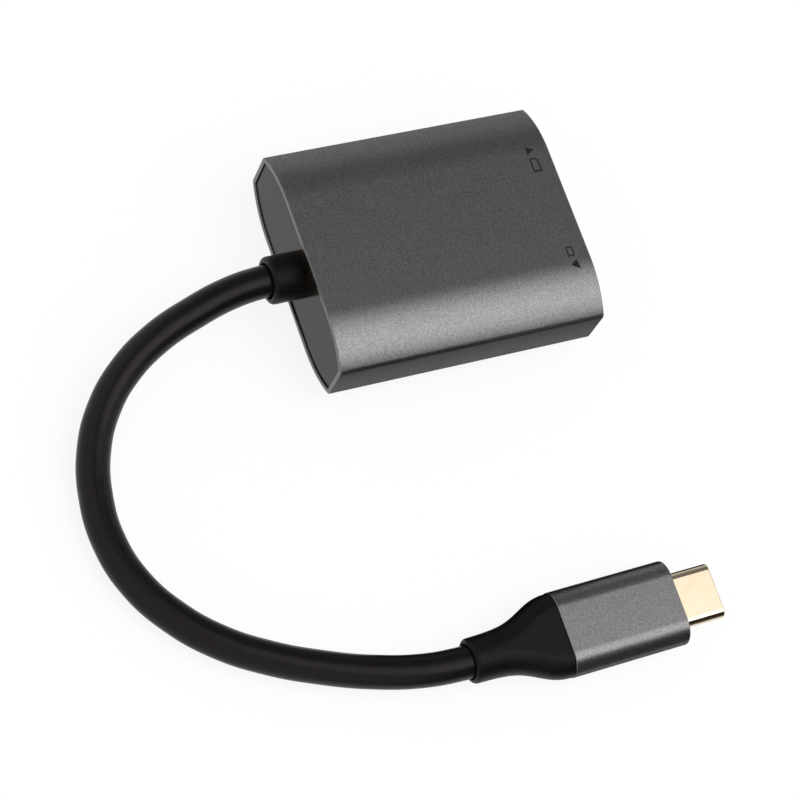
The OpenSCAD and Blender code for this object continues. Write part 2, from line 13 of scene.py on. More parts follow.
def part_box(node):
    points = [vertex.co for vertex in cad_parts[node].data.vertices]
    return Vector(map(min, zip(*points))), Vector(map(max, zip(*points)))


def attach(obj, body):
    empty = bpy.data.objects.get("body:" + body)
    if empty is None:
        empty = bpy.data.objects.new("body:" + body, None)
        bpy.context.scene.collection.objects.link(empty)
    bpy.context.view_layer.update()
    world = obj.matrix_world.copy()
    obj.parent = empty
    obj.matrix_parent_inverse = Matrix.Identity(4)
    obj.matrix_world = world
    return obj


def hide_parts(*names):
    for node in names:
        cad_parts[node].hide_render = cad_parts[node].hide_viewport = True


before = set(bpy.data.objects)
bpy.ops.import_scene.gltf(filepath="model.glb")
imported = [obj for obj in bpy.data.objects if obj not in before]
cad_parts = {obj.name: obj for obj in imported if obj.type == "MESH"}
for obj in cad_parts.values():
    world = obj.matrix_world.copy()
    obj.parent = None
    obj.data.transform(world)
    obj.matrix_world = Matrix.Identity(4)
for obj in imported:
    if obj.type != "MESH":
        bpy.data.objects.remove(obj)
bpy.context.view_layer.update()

# %% [markdown]
# Sizes of the object are easier to read in millimetres, so one factor turns them into metres. Outlines and
# rings are lists of points in millimetres until a mesh is made of them. The table, the lamp and the cards are
# far larger than the object, so they stay in metres.

# %% Millimetres and new objects
MM = 0.001


def mm(*values):
    """A point given in millimetres, as a vector in metres."""
    return Vector(values) * MM


def new_object(name, data):
    """An object of that name and data, linked to the scene."""
    thing = bpy.data.objects.new(name, data)
    bpy.context.scene.collection.objects.link(thing)
    return thing


# %% [markdown]
# The camera stands high, behind the cable end and to the near side, and looks down at the table between the
# housing and the loop of cable. A place, a point to aim at and a roll say all of it. A camera that is aimed
# by hand is hard to repeat, so the three are written as numbers.

# %% Camera
camera_place = mm(-155.0, -142.4, 349.6)
camera_aim = mm(-9.63, -19.68, 0)
camera_roll = 33.45
camera_lens = 123.52

camera_data = bpy.data.cameras.new("portrait_camera")
camera_data.lens = camera_lens
camera_data.sensor_width = 36
camera_data.clip_start = 0.01
camera_data.clip_end = 10
camera = new_object("portrait_camera", camera_data)
looking = (camera_aim - camera_place).to_track_quat("-Z", "Y").to_matrix().to_4x4()
rolled = Matrix.Rotation(math.radians(camera_roll), 4, "Z")
camera.matrix_world = Matrix.Translation(camera_place) @ looking @ rolled
bpy.context.scene.camera = camera
print("camera height:", round(camera_place.z, 3), "m, roll:", camera_roll, "degrees")

# %% [markdown]
# The cable is a round rubber jacket over twisted wires. It is stiff enough to keep one wide loop and heavy
# enough to lie on the table. A mesh tube would work, but a curve with a round bevel follows a few points
# smoothly and keeps its true diameter, and its length can be measured. The points are those of the solid.
# Blender widens the box of a curve by the radius of its points, so the radius is the real one and the bevel
# depth, which multiplies it, is 1.

# %% Cable
cable_d = 4.8
cable_route = [
    (-24.55, 0, 6.6), (-26.35, 0, 6.6), (-31.5, -0.7, 6.6), (-37.5, -2.4, 6.3), (-43.5, -4.7, 5.7),
    (-49, -8.1, 4.8), (-53.4, -12.6, 3.9), (-56.5, -18.2, 3.1), (-58.1, -24.6, 2.6), (-58.2, -31.4, 2.4),
    (-56.4, -38, 2.4), (-52.8, -43.8, 2.4), (-47.8, -48.8, 2.4), (-41.8, -52.7, 2.4), (-35.2, -55.8, 2.4),
    (-28.2, -58.4, 2.6), (-21.4, -60.1, 3), (-15.69, -60.60, 3.31), (-13.89, -60.56, 3.31),
]
cable_data = bpy.data.curves.new("cable", "CURVE")
cable_data.dimensions = "3D"
cable_data.resolution_u = 10
cable_data.bevel_depth = 1
cable_data.bevel_resolution = 10
cable_data.use_fill_caps = True
cable_line = cable_data.splines.new("BEZIER")
cable_line.bezier_points.add(len(cable_route) - 1)
for point, place in zip(cable_line.bezier_points, cable_route):
    point.co = mm(*place)
    point.radius = cable_d / 2 * MM
    point.handle_left_type = point.handle_right_type = "AUTO"
cable = new_object("cable", cable_data)
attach(cable, "root")
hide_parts("cable_jacket")
print("cable with both ends:", round(cable_line.calc_length() * 1000, 1), "mm")

# %% [markdown]
# A product table is white and seamless. Light on its way to the object meets an ordinary pale floor here, in
# slightly dim air. The camera and the reflections see both as plain white instead, with a small share of the
# matt paint left in the floor, which takes a soft shadow. Pushing the lamps until the floor burns out would
# do it too, but it would also wash out the object.

# %% Helpers for shader nodes
def bare_tree(owner):
    """The node tree of a material, a lamp or the world, switched on and emptied."""
    owner.use_nodes = True
    owner.node_tree.nodes.clear()
    return owner.node_tree


def put(tree, kind, inputs=None, **settings):
    """Adds a node, sets its properties and fills its inputs: sockets are linked, other values are set."""
    node = tree.nodes.new("ShaderNode" + kind)
    for name, value in settings.items():
        setattr(node, name, value)
    for key, value in (inputs or {}).items():
        if isinstance(value, bpy.types.NodeSocket):
            tree.links.new(value, node.inputs[key])
        else:
            node.inputs[key].default_value = value
    return node


def seen_directly(tree):
    """1 for rays from the camera, from mirrors and through glass, and 0 for light on its way to a surface."""
    path = put(tree, "LightPath")
    seen = path.outputs["Is Camera Ray"]
    for other in ("Is Glossy Ray", "Is Transmission Ray"):
        seen = put(tree, "Math", {0: seen, 1: path.outputs[other]}, operation="MAXIMUM").outputs[0]
    return seen


# %% Table top
floor_drop = 0.03
floor_side = 3.2
floor_white = (0.97, 0.97, 0.97, 1)
matt_share = 0.13


def flat_sheet(name, matrix, wide, tall, paint):
    """A single flat face round its own middle, for the table and the cards."""
    mesh = bpy.data.meshes.new(name)
    corners = [(i * wide / 2, j * tall / 2, 0) for i, j in ((-1, -1), (1, -1), (1, 1), (-1, 1))]
    mesh.from_pydata(corners, [], [(0, 1, 2, 3)])
    mesh.materials.append(paint)
    sheet = new_object(name, mesh)
    sheet.matrix_world = matrix
    return sheet


floor_paint = bpy.data.materials.new("table_white")
tree = bare_tree(floor_paint)
matt = put(tree, "BsdfDiffuse", {"Color": floor_white})
glow = put(tree, "Emission", {"Color": (1, 1, 1, 1), "Strength": 1.0})
share = put(tree, "Math", {0: seen_directly(tree), 1: 1 - matt_share}, operation="MULTIPLY")
both = put(tree, "MixShader", {0: share.outputs[0], 1: matt.outputs[0], 2: glow.outputs[0]})
put(tree, "OutputMaterial", {"Surface": both.outputs[0]})
floor_place = Matrix.Translation((0, 0, -floor_drop * MM))
table_top = flat_sheet("table_top", floor_place, floor_side, floor_side, floor_paint)
print("table:", floor_side, "m wide,", floor_drop, "mm below the object")

# %% White air
air_light = 0.63

world = bpy.data.worlds.new("studio_air")
bpy.context.scene.world = world
tree = bare_tree(world)
strength = put(tree, "MapRange", {"Value": seen_directly(tree), "To Min": air_light, "To Max": 1.0})
air = put(tree, "Background", {"Color": (1, 1, 1, 1), "Strength": strength.outputs["Result"]})
put(tree, "OutputWorld", {"Surface": air.outputs[0]})
bpy.context.scene.view_settings.view_transform = "Standard"
print("air light:", air_light)

# %% [markdown]
# The bright band on the near shoulder of the housing is the mirror image of one large soft lamp, which hangs
# high beyond the slot end and a little to the near side. Blasted metal shows a lamp as a broad soft patch, so
# the size and the place of the lamp decide where the band begins and ends. The cloth of a soft box glows less
# towards its edges, and so does this one. More lamps would fill the shape in and flatten it.

# %% Soft lamp
lamp_towards = (0.42, -0.197, 0.886)
lamp_away = 3.0
lamp_tall, lamp_wide = 4.6, 3.9
lamp_glow = 2.5
# Each fade: side of the cloth, where the side is dark and where it has its full glow, from 0 to 1.
lamp_fades = (("X", 0, 0.3), ("X", 1, 0.7), ("Y", 0.03, 0.15), ("Y", 1, 0.45))


def faced(towards, away):
    """Place and turn of something flat that faces the table from there, one side along the housing."""
    towards = Vector(towards).normalized()
    along = Vector((1, 0, 0))
    side = (along - along.dot(towards) * towards).normalized()
    turn = Matrix((side, towards.cross(side), towards)).transposed().to_4x4()
    return Matrix.Translation(camera_aim + towards * away) @ turn


lamp_data = bpy.data.lights.new("soft_lamp", "AREA")
lamp_data.shape = "RECTANGLE"
lamp_data.size = lamp_wide
lamp_data.size_y = lamp_tall
lamp_data.energy = math.pi * lamp_glow * lamp_wide * lamp_tall
tree = bare_tree(lamp_data)
across = put(tree, "SeparateXYZ", {0: put(tree, "NewGeometry").outputs["Parametric"]})
fade = None
for axis, dark_at, full_at in lamp_fades:
    reach = {"Value": across.outputs[axis], "From Min": dark_at, "From Max": full_at}
    ramp = put(tree, "MapRange", reach).outputs[0]
    fade = put(tree, "Math", {0: fade, 1: ramp}, operation="MULTIPLY").outputs[0] if fade else ramp
cloth = put(tree, "Emission", {"Strength": fade})
put(tree, "OutputLight", {"Surface": cloth.outputs[0]})
lamp = new_object("soft_lamp", lamp_data)
lamp.matrix_world = faced(lamp_towards, lamp_away)
lamp.visible_camera = False
print("lamp:", round(lamp_data.energy, 1), "W")

# %% [markdown]
# White surroundings alone leave metal without edges: every side mirrors the same white. Photographers stand
# grey and black cards round the table, just out of the picture, so that edges mirror something dark. The
# cards here do the same. A black one backs the lamp, because the white air shines through a lamp's dim rim.
# A nearly black one darkens the edge above the near side, two grey ones shade the far shoulder, and two on
# the table shade the near side and its lower edge. Only reflections see them, so the camera looks past them
# from every side. Paint that grows darker at the edges would be simpler, but it stays dark in any light.

# %% Cards
def card(name, matrix, wide, tall, glow):
    """A flat card of one even grey for reflections. It casts no shadow."""
    paint = bpy.data.materials.new(name)
    tree = bare_tree(paint)
    face = put(tree, "Emission", {"Strength": glow})
    put(tree, "OutputMaterial", {"Surface": face.outputs[0]})
    piece = flat_sheet(name, matrix, wide, tall, paint)
    piece.visible_camera = piece.visible_diffuse = piece.visible_shadow = False


def on_table(x, y):
    """Place of a card that lies on the table, a hundredth of a millimetre above it."""
    return Matrix.Translation((x, y, (0.01 - floor_drop) * MM))


back_gap, back_margin = 0.1, 1.05
behind_lamp = faced(lamp_towards, lamp_away + back_gap)

card("lamp_back", behind_lamp, lamp_wide * back_margin, lamp_tall * back_margin, glow=0)
card("near_card", faced((0.42, -0.85, 0.31), away=0.6), wide=0.5, tall=0.42, glow=0.02)
card("far_card", faced((0.42, 0.545, 0.725), away=0.9), wide=1.0, tall=0.85, glow=0.2)
card("horizon_card", faced((0.42, 0.887, 0.19), away=0.95), wide=0.9, tall=0.54, glow=0.55)
card("floor_card", on_table(0.16, -0.371), wide=0.4, tall=0.6, glow=0.1)
card("edge_card", on_table(0.015, -0.0385), wide=0.08, tall=0.031, glow=0.01)

# %% [markdown]
# Every finish below is made of the same few layers: a coordinate that counts in millimetres, noise of a
# known grain, a colour and a roughness that follow the noise, and a bump of a known depth. Image textures
# could do this too, but layers of noise stay sharp at any distance and cost no files.

# %% A new finish
def new_finish(name, **sockets):
    """A material with one Principled shader. Values that are even all over are set on its own sockets."""
    material = bpy.data.materials.new(name)
    tree = bare_tree(material)
    shader = put(tree, "BsdfPrincipled", {key.replace("_", " "): value for key, value in sockets.items()})
    put(tree, "OutputMaterial", {"Surface": shader.outputs[0]})
    metres = put(tree, "TexCoord").outputs["Object"]
    place = put(tree, "VectorMath", {0: metres, "Scale": 1 / MM}, operation="SCALE")
    return material, tree, shader, place.outputs[0]


# %% Layers of a finish
def grain(tree, place, size, detail=2.0, stretch=None):
    """Noise whose lumps are about that many millimetres across."""
    if stretch:
        place = put(tree, "VectorMath", {0: place, 1: stretch}, operation="MULTIPLY").outputs[0]
    return put(tree, "TexNoise", {"Vector": place, "Scale": 1 / size, "Detail": detail}).outputs[0]


def between(tree, value, low, high, start=0.3, end=0.7):
    """Maps noise from start to end onto low to high."""
    limits = {"From Min": start, "From Max": end, "To Min": low, "To Max": high}
    return put(tree, "MapRange", {"Value": value, **limits}).outputs[0]


def mixed(tree, factor, first, second):
    """A colour between two colours."""
    node = put(tree, "Mix", {0: factor}, data_type="RGBA")
    for index, colour in ((6, first), (7, second)):
        if isinstance(colour, bpy.types.NodeSocket):
            tree.links.new(colour, node.inputs[index])
        else:
            node.inputs[index].default_value = (*colour, 1)
    return node.outputs[2]


def bumped(tree, height, depth, under=None):
    """A bump whose noise from 0 to 1 stands for that many millimetres."""
    node = put(tree, "Bump", {"Height": height, "Distance": depth * MM, "Strength": 1.0})
    if under:
        tree.links.new(under, node.inputs["Normal"])
    return node.outputs[0]


def dress(tree, shader, colour=None, roughness=None, normal=None):
    """Links the layers to the shader."""
    for key, value in (("Base Color", colour), ("Roughness", roughness), ("Normal", normal)):
        if value is not None:
            tree.links.new(value, shader.inputs[key])


# %% [markdown]
# The housing is aluminium, blasted with fine beads and dyed dark grey in the anodising bath. The blasting
# leaves dimples about a tenth of a millimetre across, which sparkle a little, and the dye takes in faint
# clouds. Paint with a clear coat would look like plastic, so this is a metal shader with a fine bump, which
# gives the broad sheen. The plug's cover is nearly the same grey, with a trace of violet.

# %% Anodised aluminium
dimple_size, dimple_depth = 0.135, 0.012
facet_size = 0.12
cloud_size = 3.0


def anodised(name, dark, light, rough):
    """Blasted and dyed metal: dimples, facets that sparkle one by one, and faint clouds."""
    material, tree, shader, place = new_finish(name, Metallic=1.0, Specular_Tint=(0.32, 0.32, 0.32, 1))
    dimples = grain(tree, place, dimple_size, 3.0)
    cloud = grain(tree, place, cloud_size)
    sparkle = put(tree, "TexVoronoi", {"Vector": place, "Scale": 1 / facet_size}).outputs["Color"]
    facet = put(tree, "SeparateColor", {0: sparkle}).outputs[0]
    speck = put(tree, "Math", {0: dimples, 1: facet}, operation="ADD").outputs[0]
    colour = mixed(tree, between(tree, speck, 0, 1, start=0.58, end=1.42), dark, light)
    colour = mixed(tree, between(tree, cloud, 0, 0.12), colour, light)
    roughness = between(tree, dimples, rough - 0.05, rough + 0.07)
    dress(tree, shader, colour, roughness, bumped(tree, dimples, dimple_depth))
    return material


housing_metal = anodised("blasted_dark_aluminium", (0.145, 0.145, 0.145), (0.245, 0.245, 0.245), rough=0.33)
plug_metal = anodised("blasted_grey_aluminium", (0.147, 0.143, 0.145), (0.248, 0.242, 0.244), rough=0.33)
print("blasted finishes:", housing_metal.name, plug_metal.name)


# %% Cut edges
def cut_metal(name, shade):
    """Metal that was cut after blasting: smoother, with fine scratches across the rim."""
    material, tree, shader, place = new_finish(name, Metallic=1.0)
    scratches = grain(tree, place, 0.08, 2.0, stretch=(1, 0.12, 0.12))
    darker, lighter = [v * 0.8 for v in shade], [v * 1.2 for v in shade]
    colour = mixed(tree, between(tree, scratches, 0, 1), darker, lighter)
    dress(tree, shader, colour, between(tree, scratches, 0.3, 0.45), bumped(tree, scratches, 0.004))
    return material


housing_cut = cut_metal("cut_edge_of_dark_aluminium", (0.16, 0.16, 0.153))
plug_cut = cut_metal("cut_edge_of_grey_aluminium", (0.17, 0.17, 0.165))
print("cut finishes:", housing_cut.name, plug_cut.name)

# %% [markdown]
# Plastics are next. The end plates are moulded in a polished tool, so they mirror the collar and the table,
# with a faint waviness. The carrier and the sockets come from duller tools. Each could have a recipe of its
# own, but they differ only in numbers, so one recipe serves them all and the numbers stand side by side.

# %% Plastics
def plastic(name, dark, light, rough, grain_size, depth, **sockets):
    """Moulded plastic: the fine grain of its tool over waves fourteen times as wide and twice as deep."""
    material, tree, shader, place = new_finish(name, **sockets)
    fine = grain(tree, place, grain_size, 3.0)
    cloud = grain(tree, place, grain_size * 14)
    colour = mixed(tree, between(tree, cloud, 0, 1), dark, light)
    roughness = between(tree, fine, rough * 0.85, rough * 1.15)
    dress(tree, shader, colour, roughness, bumped(tree, fine, depth, under=bumped(tree, cloud, depth * 2)))
    return material


gloss_plastic = plastic(
    "polished_black_plastic", (0.004, 0.003, 0.002), (0.017, 0.0115, 0.0075),
    rough=0.16, grain_size=0.25, depth=0.0008, Specular_IOR_Level=0.13, Specular_Tint=(1, 0.8, 0.7, 1),
)
carrier_plastic = plastic(
    "moulded_carrier_plastic", (0.02, 0.02, 0.022), (0.032, 0.032, 0.034),
    rough=0.45, grain_size=0.15, depth=0.006,
)
socket_plastic = plastic(
    "heat_proof_socket_plastic", (0.012, 0.012, 0.012), (0.022, 0.022, 0.021),
    rough=0.4, grain_size=0.12, depth=0.004,
)
chip_plastic = plastic(
    "moulded_chip_plastic", (0.018, 0.018, 0.018), (0.03, 0.03, 0.03),
    rough=0.55, grain_size=0.06, depth=0.004,
)
ceramic = plastic(
    "brown_ceramic", (0.22, 0.14, 0.085), (0.32, 0.22, 0.14), rough=0.4, grain_size=0.1, depth=0.004,
)
wire_jacket = plastic(
    "red_wire_jacket", (0.34, 0.016, 0.012), (0.45, 0.03, 0.02), rough=0.35, grain_size=0.3, depth=0.003,
)
plastics = (gloss_plastic, carrier_plastic, socket_plastic, chip_plastic, ceramic, wire_jacket)
print("plastics:", [finish.name for finish in plastics])

# %% [markdown]
# The collar, the boot and the jacket of the cable are soft black elastomers. The boot comes from a spark
# eroded tool and is matt with a fine even grain. The jacket is extruded, so it is smoother, with a satin
# shine and very shallow waves from the twisted wires under it. A black this deep shows almost nothing but its
# shine, so the shine is turned down on the shader and not hidden under a lighter colour.

# %% Elastomers
def elastomer(name, dark, light, rough, pebble, depth, wave, wave_depth, **sockets):
    """Soft black skin: pebbles of that size and depth over broader waves."""
    material, tree, shader, place = new_finish(name, **sockets)
    fine = grain(tree, place, pebble, 3.0)
    waves = grain(tree, place, wave, 1.0)
    colour = mixed(tree, between(tree, fine, 0, 1), dark, light)
    roughness = between(tree, fine, rough - 0.06, rough + 0.06)
    dress(tree, shader, colour, roughness, bumped(tree, fine, depth, under=bumped(tree, waves, wave_depth)))
    return material


boot_rubber = elastomer(
    "matt_black_elastomer", (0.0005, 0.0005, 0.0005), (0.002, 0.002, 0.002),
    rough=0.42, pebble=0.22, depth=0.07, wave=4, wave_depth=0.02, Specular_IOR_Level=0.17,
)
cable_rubber = elastomer(
    "satin_black_jacket", (0.003, 0.0024, 0.002), (0.006, 0.005, 0.0045),
    rough=0.33, pebble=0.2, depth=0.002, wave=2.5, wave_depth=0.05, Specular_IOR_Level=0.2,
    Specular_Tint=(1, 0.93, 0.88, 1),
)
print("elastomers:", boot_rubber.name, cable_rubber.name)

# %% [markdown]
# Metals inside: nickel on the socket covers, screws and springs, and gold on every contact. The shell of
# the plug is drawn sheet with a pale gold colour and a mirror polish, with faint lines along the draw.
# Lines could be cut into the mesh, but they are far too fine, so the noise is stretched along the part.

# %% Plated metals
def plated(name, dark, light, rough, stretch, depth=0.0015):
    """Thin plating that shows the lines of the sheet under it."""
    material, tree, shader, place = new_finish(name, Metallic=1.0)
    lines = grain(tree, place, 0.1, 3.0, stretch)
    cloud = grain(tree, place, 1.6)
    colour = mixed(tree, between(tree, cloud, 0, 1), dark, light)
    roughness = between(tree, lines, rough * 0.8, rough * 1.25)
    dress(tree, shader, colour, roughness, bumped(tree, lines, depth))
    return material


nickel = plated("bright_nickel", (0.56, 0.55, 0.52), (0.66, 0.65, 0.62), rough=0.24, stretch=(0.1, 1, 1))
contact_gold = plated("contact_gold", (0.83, 0.57, 0.22), (0.95, 0.68, 0.30), rough=0.22, stretch=(0.2, 1, 1))
shell_gold = plated(
    "pale_gold_shell", (0.72, 0.60, 0.435), (0.76, 0.64, 0.48), rough=0.12, stretch=(0.06, 1, 1), depth=0.0006,
)
print("platings:", nickel.name, contact_gold.name, shell_gold.name)

# %% [markdown]
# A circuit board is woven glass under green lacquer, with copper lines that show through as lighter green.
# A brick pattern with wide joints makes believable lines without drawing any real circuit.

# %% Circuit board
board_lacquer, tree, shader, place = new_finish("green_circuit_board", Roughness=0.3)
copper_lines = {
    "Scale": 0.55, "Mortar Size": 0.05, "Mortar Smooth": 0.15, "Row Height": 0.4, "Brick Width": 1.1,
}
lines = put(tree, "TexBrick", {"Vector": place, **copper_lines}).outputs["Fac"]
weave = grain(tree, place, 0.3, 2.0)
ground = mixed(tree, between(tree, weave, 0, 1), (0.010, 0.060, 0.025), (0.016, 0.085, 0.036))
dress(tree, shader, colour=mixed(tree, lines, ground, (0.03, 0.16, 0.07)), normal=bumped(tree, lines, 0.02))
print("board finish:", board_lacquer.name)

# %% [markdown]
# Now the solids get their finishes. A solid keeps its own mesh, so assigning a material is all it takes. A
# table of names is easier to check than a line for each. The six solids at its end are hidden later, each
# behind a piece of its own, and carry the same finish as that piece.

# %% Finishes on the solids
finish_of = {
    "rear_end_plate": gloss_plastic, "front_end_plate": gloss_plastic, "board_carrier": carrier_plastic,
    "carrier_screws": nickel, "main_board": board_lacquer, "card_socket_base": socket_plastic,
    "card_socket_cover": nickel, "card_contacts": contact_gold, "card_detect_springs": contact_gold,
    "small_socket_base": socket_plastic, "small_socket_cover": nickel, "small_contacts": contact_gold,
    "controller_chip": chip_plastic, "regulator_chip": chip_plastic, "timing_crystal": nickel,
    "board_capacitors": ceramic, "board_resistors": chip_plastic, "inner_wires": wire_jacket,
    "plug_core": socket_plastic, "plug_insulator": socket_plastic, "plug_contacts_upper": contact_gold,
    "plug_contacts_lower": contact_gold, "plug_latch": nickel, "plug_ground_springs": nickel,
    "plug_board": board_lacquer, "plug_wires": wire_jacket, "cable_jacket": cable_rubber,
    "housing_sleeve": housing_metal, "plug_cover": plug_metal, "plug_shell": shell_gold,
    "plug_boot": boot_rubber, "strain_relief": boot_rubber,
}
for name, material in finish_of.items():
    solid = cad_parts[name]
    solid.data.materials.clear()
    solid.data.materials.append(material)
cable_data.materials.append(cable_rubber)
print("solids with a finish:", len(finish_of), "of", len(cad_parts))

# %% [markdown]
# The sleeve is extruded and then sawn, so it has one outline all along and a small broken edge at each end.
# A bevel modifier on the solid would round every edge alike. Instead the outline is drawn once and swept
# through rings that run along the outside, over the rim and back along the inside, which gives clean faces.
# Smooth shading would bend the large flats towards their rounded neighbours. Normals weighted by the area of
# the faces keep the flats flat.

# %% Sweeping rings into a skin
def ring_mesh(name, rings, materials, sharp, face_material=None, loop=True):
    """A skin through rings of equally many points in millimetres, closed onto itself or capped at both ends."""
    count = len(rings[0])
    points = [mm(*p) for ring in rings for p in ring]
    faces, kinds = [], []
    for i in range(len(rings) if loop else len(rings) - 1):
        j = (i + 1) % len(rings)
        for k in range(count):
            n = (k + 1) % count
            faces.append((i * count + k, i * count + n, j * count + n, j * count + k))
            kinds.append(face_material(i) if face_material else 0)
    if not loop:
        last = (len(rings) - 1) * count
        faces += [tuple(range(count - 1, -1, -1)), tuple(range(last, last + count))]
        kinds += [0, 0]
    mesh = bpy.data.meshes.new(name)
    mesh.from_pydata(points, [], faces)
    for material in materials:
        mesh.materials.append(material)
    mesh.polygons.foreach_set("material_index", kinds)
    mesh.polygons.foreach_set("use_smooth", [True] * len(faces))
    mesh.set_sharp_from_angle(angle=math.radians(sharp))
    mesh.validate()
    piece = new_object(name, mesh)
    piece.modifiers.new("flats_shade_flat", "WEIGHTED_NORMAL").keep_sharp = True
    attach(piece, "root")
    return piece


# %% Steps round the wall of a tube
rim_sharp = 30
rim_steps = 3


def rounded_end(end, radius, steps=rim_steps):
    """Steps of a rounded edge: how far along and how far in, from the side face to the end face."""
    turns = [math.radians(90 * i / steps) for i in range(steps + 1)]
    return [(end - radius * (1 - math.sin(a)), radius * (1 - math.cos(a))) for a in turns]


def tube_steps(back, front, thickness, rounding, margin, skin=0):
    """Steps [along, inset] of a tube: its outside, less a margin at each end, its front rim, its back rim."""
    outer = rounded_end(front, rounding)
    front_rim = [(along, skin + inset) for along, inset in outer]
    front_rim += [(along, thickness - inset) for along, inset in reversed(outer)]
    back_rim = [(back + front - along, inset) for along, inset in reversed(front_rim)]
    return [(back + margin, skin), (front - margin, skin)] + front_rim + back_rim


def cut_on_rim(i):
    """1, the cut metal, for faces on a tube's rims, less the first and last step of each, and 0 elsewhere."""
    rings_of_rim = 2 * (rim_steps + 1)
    return int(i >= 2 and 1 <= (i - 2) % rings_of_rim <= rings_of_rim - 3)


# %% Outline of the housing
housing_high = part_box("housing_sleeve")[1] / MM
housing_end = housing_high.x
housing_half_w = housing_high.y
housing_h = housing_high.z
side_flat_h = 7.2
top_half = 9.0
edge_r = 1.0
wall = 0.75
inner_edge_r = 0.25

shoulder_run = housing_half_w - top_half
shoulder_drop = (housing_h - side_flat_h) / 2
shoulder_r = (shoulder_run ** 2 + shoulder_drop ** 2) / (2 * shoulder_drop)
arc_z = housing_h - shoulder_r


def housing_outline(inset, arc_steps=20, edge_steps=6):
    """Points [y, z] round the housing: a flat, a shoulder arc and a rounded edge, four times mirrored."""
    big = shoulder_r - inset
    small = edge_r + (inner_edge_r - edge_r) * inset / wall
    edge_y = housing_half_w - inset - small
    edge_z = arc_z + math.sqrt((big - small) ** 2 - (edge_y - top_half) ** 2)
    lean = math.atan2(edge_z - arc_z, edge_y - top_half)
    quarter = []
    for i in range(arc_steps + 1):
        a = math.pi / 2 + (lean - math.pi / 2) * i / arc_steps
        quarter.append((top_half + big * math.cos(a), arc_z + big * math.sin(a)))
    for i in range(1, edge_steps + 1):
        a = lean * (1 - i / edge_steps)
        quarter.append((edge_y + small * math.cos(a), edge_z + small * math.sin(a)))
    right = quarter + [(y, housing_h - z) for y, z in reversed(quarter)]
    return right + [(-y, z) for y, z in reversed(right)]


print("shoulder radius:", round(shoulder_r, 2), "mm, points in the outline:", len(housing_outline(0)))

# %% [markdown]
# The sleeve stays a few thousandths of a millimetre inside the solid, which leaves room for the print on top
# of it. Its rims are a finish of their own, because the saw cuts through the dye.

# %% Sleeve
lacquer = 0.004
rim_round = 0.12
rim_margin = housing_end * 0.1

sleeve_steps = tube_steps(-housing_end, housing_end, wall, rim_round, rim_margin, skin=lacquer)
sleeve_rings = [[(x, y, z) for y, z in housing_outline(inset)] for x, inset in sleeve_steps]
sleeve = ring_mesh("sleeve", sleeve_rings, [housing_metal, housing_cut], rim_sharp, cut_on_rim)
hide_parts("housing_sleeve")
print("sleeve:", len(sleeve.data.polygons), "faces,", len(sleeve_steps), "rings")

# %% [markdown]
# The collar where the cable leaves is one soft moulding: a round boss with a rounded lip, a mouth a little
# wider than the cable, a neck through the end plate and a flange behind it. It is turned about one axis,
# so rings of a few radii describe it. A screw modifier would turn it too, but a list of radii is easier to
# read and to set against the solid.

# %% Turning rings about the cable's axis
def turned(name, profile, place, materials, sides=72):
    """A piece turned about a line along X: profile is [along, radius] in millimetres from a place on it."""
    turns = [2 * math.pi * k / sides for k in range(sides)]
    rings = [
        [Vector(place) + Vector((along, radius * math.cos(a), radius * math.sin(a))) for a in turns]
        for along, radius in profile
    ]
    return ring_mesh(name, rings, materials, sharp=40)


# %% Lip of a collar
mouth_gap, mouth_depth, mouth_round = 0.25, 1.0, 0.08
mouth_half = cable_d / 2 + mouth_gap
lip_round, lip_steps = 0.6, 6
core_half = 0.05


def lip(radius):
    """Profile of a collar's outer end, from the bottom of its mouth out over the rounded lip."""
    turns = [math.radians(90 * i / lip_steps) for i in range(lip_steps + 1)]
    outer = [(lip_round * (1 - math.cos(a)), radius - lip_round * (1 - math.sin(a))) for a in turns]
    bottom = [(mouth_depth, core_half), (mouth_depth, mouth_half)]
    return bottom + [(mouth_round, mouth_half), (0, mouth_half + mouth_round)] + outer


print("mouth:", 2 * mouth_half, "mm across for a cable of", cable_d, "mm")

# %% Collar on the housing
relief_low, relief_high = (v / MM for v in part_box("strain_relief"))
relief_l = relief_high.x - relief_low.x
axis_z = housing_h / 2
plate_t = 1.7
collar_l = 4.8
collar_half = 3.5
collar_round = 0.08
neck_wall, flange_reach = 0.5, 0.7
neck_half = cable_d / 2 + neck_wall
flange_half = collar_half + flange_reach

collar_profile = lip(collar_half) + [
    (collar_l - collar_round, collar_half), (collar_l, collar_half - collar_round), (collar_l, neck_half),
    (collar_l + plate_t, neck_half), (collar_l + plate_t, flange_half),
    (relief_l, flange_half), (relief_l, core_half),
]
collar = turned("housing_collar", collar_profile, (relief_low.x, 0, axis_z), [boot_rubber])
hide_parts("strain_relief")
print("collar:", round(relief_l, 2), "mm long")

# %% [markdown]
# The plug lies at a small angle, so its pieces are described along its own axis and then turned and moved
# to the middle of the front rim of its cover. The cover is a drawn tube with almost half-round sides, and
# the gold shell is a thinner one, drawn in at its front. A cube with a bevel looks much the same from afar,
# but rings round the outline of the solid keep its true corners and its wall.

# %% Along the plug's axis
plug_place = Vector((17.8, -59.9, 3.3096))
plug_heading = 1.2
plug_roll = 3.7
headed = Matrix.Rotation(math.radians(plug_heading), 4, "Z")
plug_turn = headed @ Matrix.Rotation(math.radians(plug_roll), 4, "X")
nearly_round = 0.01
least_corner = 0.05


def slab_outline(half_w, half_h, radius, per_corner):
    """A rectangle with round corners, as [y, z] points."""
    points = []
    for corner, (sy, sz) in enumerate(((1, 1), (-1, 1), (-1, -1), (1, -1))):
        for k in range(per_corner + 1):
            a = math.radians(90 * (corner + k / per_corner))
            y, z = sy * (half_w - radius), sz * (half_h - radius)
            points.append((y + radius * math.cos(a), z + radius * math.sin(a)))
    return points


